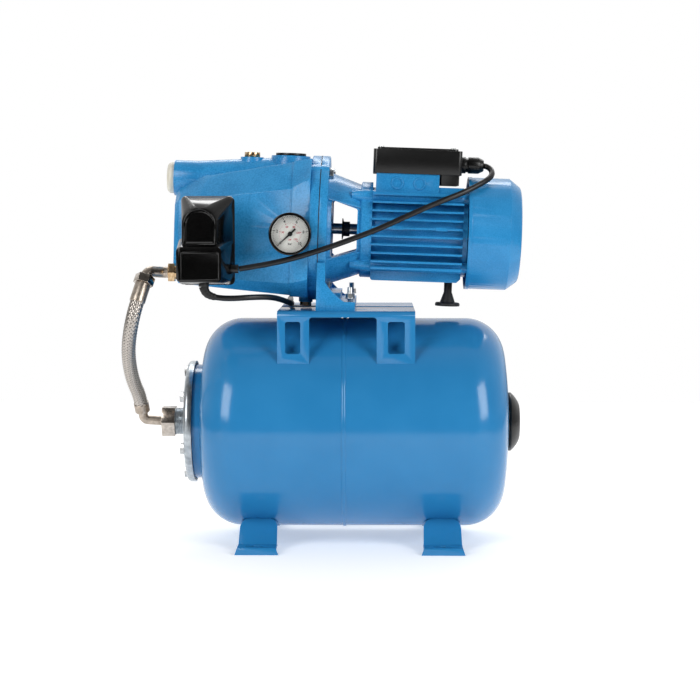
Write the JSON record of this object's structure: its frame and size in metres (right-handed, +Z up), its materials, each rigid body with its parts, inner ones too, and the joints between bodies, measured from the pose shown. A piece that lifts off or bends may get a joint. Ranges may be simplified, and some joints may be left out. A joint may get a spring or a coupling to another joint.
{
  "type": "centrifugal pump booster set",
  "caption": "Self-priming jet pump with electric motor on a horizontal pressure tank, with pressure switch, gauge and braided hose, for domestic water supply.",
  "frame": {"origin": "on the floor, in the middle of the four foot bolt holes", "axes": "+X along the tank towards the motor's fan, +Y to the back, +Z up"},
  "size_m": [0.5079, 0.3357, 0.5085],
  "materials": {
    "tank_paint": "smooth gloss blue enamel over sheet steel",
    "cast_paint": "semi-gloss blue paint over cast iron, slightly pebbled",
    "motor_paint": "semi-gloss blue paint over die cast aluminium",
    "zinc": "zinc plated, slightly yellow",
    "nickel": "nickel plated brass",
    "braid": "braided stainless wire",
    "brass": "bright turned brass",
    "black_plastic": "moulded, finely textured",
    "black_gloss": "moulded, smooth",
    "white_plastic": "moulded polyethylene",
    "lead_rubber": "smooth extruded rubber",
    "rubber": "moulded rubber",
    "dial": "printed white card",
    "glass": "clear window",
    "needle": "black",
    "steel": "turned steel",
    "lamination": "stacked electrical sheet",
    "copper": "enamelled copper wire",
    "noryl": "glass filled plastic",
    "ceramic": "carbon and ceramic faces"
  },
  "bodies": {
    "set": {"tank_shell_left": "tank_paint", "tank_shell_right": "tank_paint", "tank_bladder": "rubber", "tank_flange": "zinc", "tank_flange_bolts": "zinc", "tank_foot_left": "tank_paint", "tank_foot_right": "tank_paint", "bracket_rail_front": "tank_paint", "bracket_rail_rear": "tank_paint", "air_valve_stem": "brass", "hose_lower_nut": "nickel", "hose_lower_elbow": "nickel", "braided_hose": "braid", "hose_upper_nut": "nickel", "hose_upper_elbow": "nickel", "switch_tee": "brass", "switch_base": "black_plastic", "switch_cover": "black_gloss", "switch_springs": "steel", "gauge_case": "black_gloss", "gauge_dial": "dial", "gauge_window": "glass", "pump_casing": "cast_paint", "ejector": "noryl", "diffuser": "noryl", "seal_cover": "steel", "casing_o_ring": "rubber", "motor_bracket": "cast_paint", "flange_bolts": "zinc", "foot_bolts": "zinc", "discharge_plug": "black_plastic", "suction_plug": "white_plastic", "drain_plug": "brass", "motor_housing": "motor_paint", "stator_core": "lamination", "stator_windings": "copper", "rear_shield": "motor_paint", "tie_rods": "zinc", "fan_cover": "motor_paint", "bearings": "steel", "terminal_box": "black_plastic", "capacitor": "white_plastic", "cable_glands": "black_plastic", "stay_foot": "rubber", "motor_lead": "lead_rubber", "mains_lead": "lead_rubber", "mains_lead_coil": "lead_rubber", "mains_plug": "black_plastic"},
    "rotor": {"rotor_shaft": "steel", "rotor_core": "lamination", "impeller": "brass", "seal_head": "ceramic", "water_slinger": "rubber", "cooling_fan": "noryl"},
    "needle": {"gauge_needle": "needle"},
    "filler": {"filler_plug": "brass"},
    "valve_cap": {"air_valve_cap": "black_plastic"},
    "valve_core": {"air_valve_core": "brass"},
    "plunger": {"switch_plunger": "noryl"},
    "lever": {"switch_lever": "zinc"}
  },
  "joints": [
    {"name": "shaft_spin", "type": "hinge", "parent": "set", "child": "rotor", "pos_m": [-0.04, 0, 0.405], "axis": [0.9994, 0, -0.0349], "continuous": true},
    {"name": "needle_turn", "type": "hinge", "parent": "set", "child": "needle", "pos_m": [-0.07422, 0, 0.39919], "axis": [0, 1, 0], "range_deg": [0, 270]},
    {"name": "filler_plug_lift", "type": "slide", "parent": "set", "child": "filler", "axis": [0.0349, 0, 0.9994], "range_m": [0, 0.02]},
    {"name": "valve_cap_pull", "type": "slide", "parent": "set", "child": "valve_cap", "axis": [1, 0, 0], "range_m": [0, 0.03]},
    {"name": "valve_core_press", "type": "slide", "parent": "set", "child": "valve_core", "axis": [-1, 0, 0], "range_m": [0, 0.0015], "stiffness_N_per_m": 400, "springref_m": -0.001},
    {"name": "plunger_push", "type": "slide", "parent": "set", "child": "plunger", "axis": [0, -1, 0], "range_m": [0, 0.0015], "stiffness_N_per_m": 2000, "springref_m": -0.0005},
    {"name": "lever_tilt", "type": "hinge", "parent": "set", "child": "lever", "pos_m": [-0.18, -0.1115, 0.384], "axis": [-1, 0, 0], "range_deg": [0, 2.7]}
  ],
  "couplings": [
    {"joint": "lever_tilt", "follows": "plunger_push", "rad_per_m": 30.3}
  ]
}
